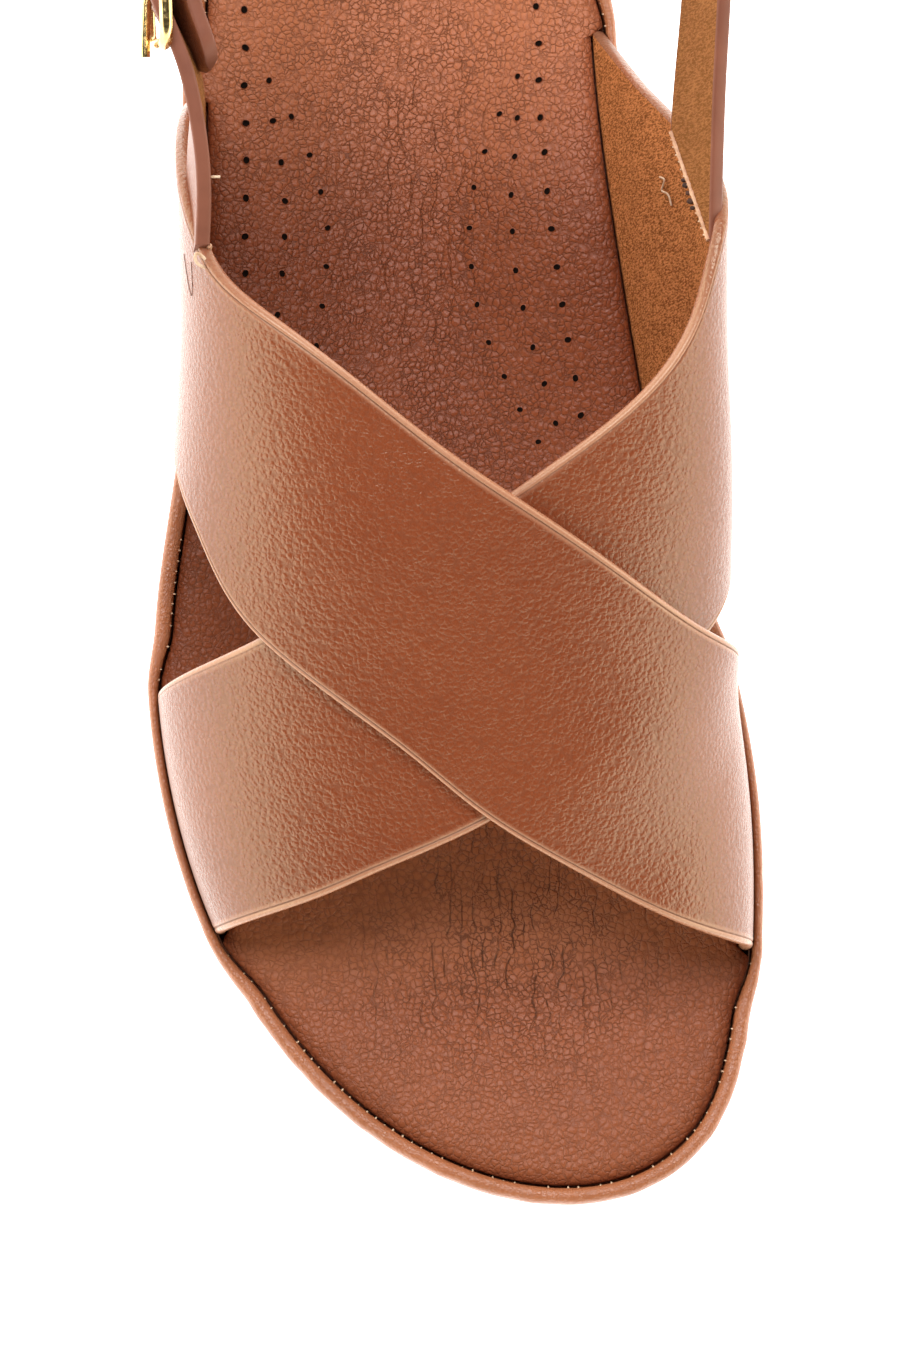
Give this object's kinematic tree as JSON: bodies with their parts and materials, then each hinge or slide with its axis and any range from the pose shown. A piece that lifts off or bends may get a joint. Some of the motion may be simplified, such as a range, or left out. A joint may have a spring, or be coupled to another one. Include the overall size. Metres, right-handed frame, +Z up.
{
  "type": "comfort sandal",
  "caption": "Right-foot comfort sandal with wide crossed leather straps on a contoured wedge sole, and a heel sling closed by a small wire buckle.",
  "frame": {"origin": "middle of the shoe's length and width, on the floor under the sole", "axes": "+Y from toe to heel, +X to the big toe side, +Z up"},
  "size_m": [0.0975, 0.2552, 0.0982],
  "materials": {
    "outsole_rubber": "matte moulded",
    "midsole_foam": "matte moulded foam",
    "rand_leather": "satin grained",
    "insole_leather": "satin pebbled",
    "strap_leather": "satin pebbled",
    "sling_leather": "satin grained",
    "buckle_brass": "polished"
  },
  "bodies": {
    "root": {"outsole": "outsole_rubber", "midsole": "midsole_foam", "rand": "rand_leather", "insole": "insole_leather", "upper": "strap_leather", "sling": "sling_leather", "buckle_strap": "sling_leather", "keeper": "sling_leather", "buckle_frame": "buckle_brass", "buckle_prong": "buckle_brass"}
  },
  "joints": []
}
